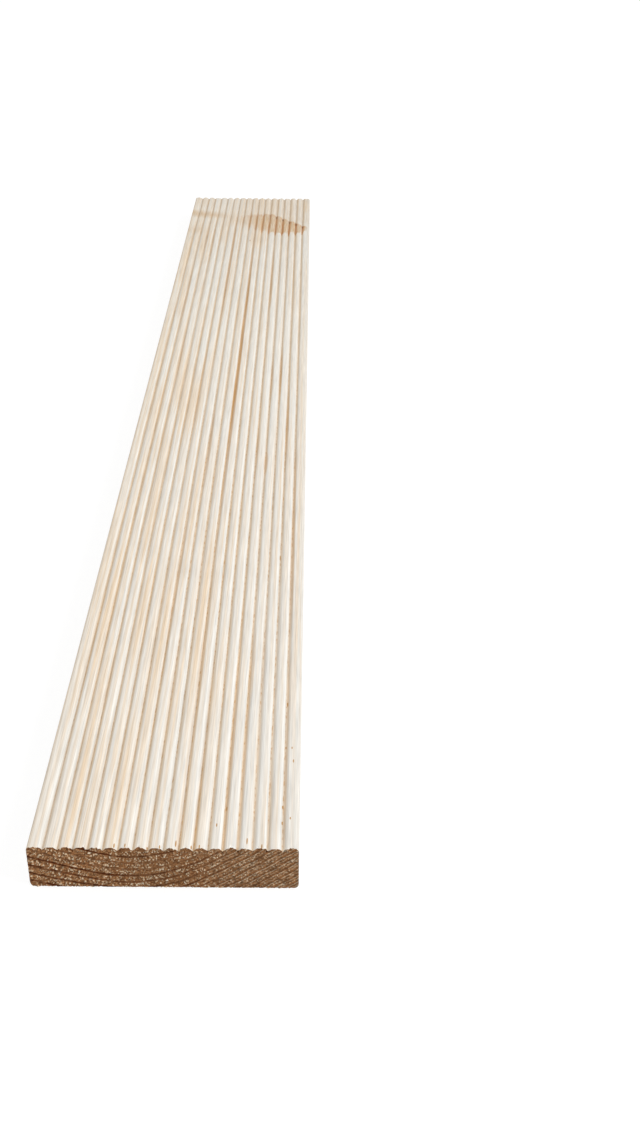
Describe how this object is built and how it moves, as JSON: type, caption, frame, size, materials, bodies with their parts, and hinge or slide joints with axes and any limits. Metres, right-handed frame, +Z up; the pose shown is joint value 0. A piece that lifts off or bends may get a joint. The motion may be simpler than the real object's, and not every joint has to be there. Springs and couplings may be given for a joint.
{
  "type": "decking board",
  "caption": "Straight softwood decking board with a reeded anti-slip top face, eased long edges, square-sawn ends and a flat underside.",
  "frame": {"origin": "middle of the underside, halfway along the board and halfway across it", "axes": "+Z up from the underside to the reeded face, +Y along the board's length, +X across its width"},
  "size_m": [0.145, 1.2, 0.028],
  "materials": {
    "softwood": "planed and moulded pale pine, unfinished, with darker sawn end grain"
  },
  "bodies": {
    "root": {"decking_board": "softwood"}
  },
  "joints": []
}
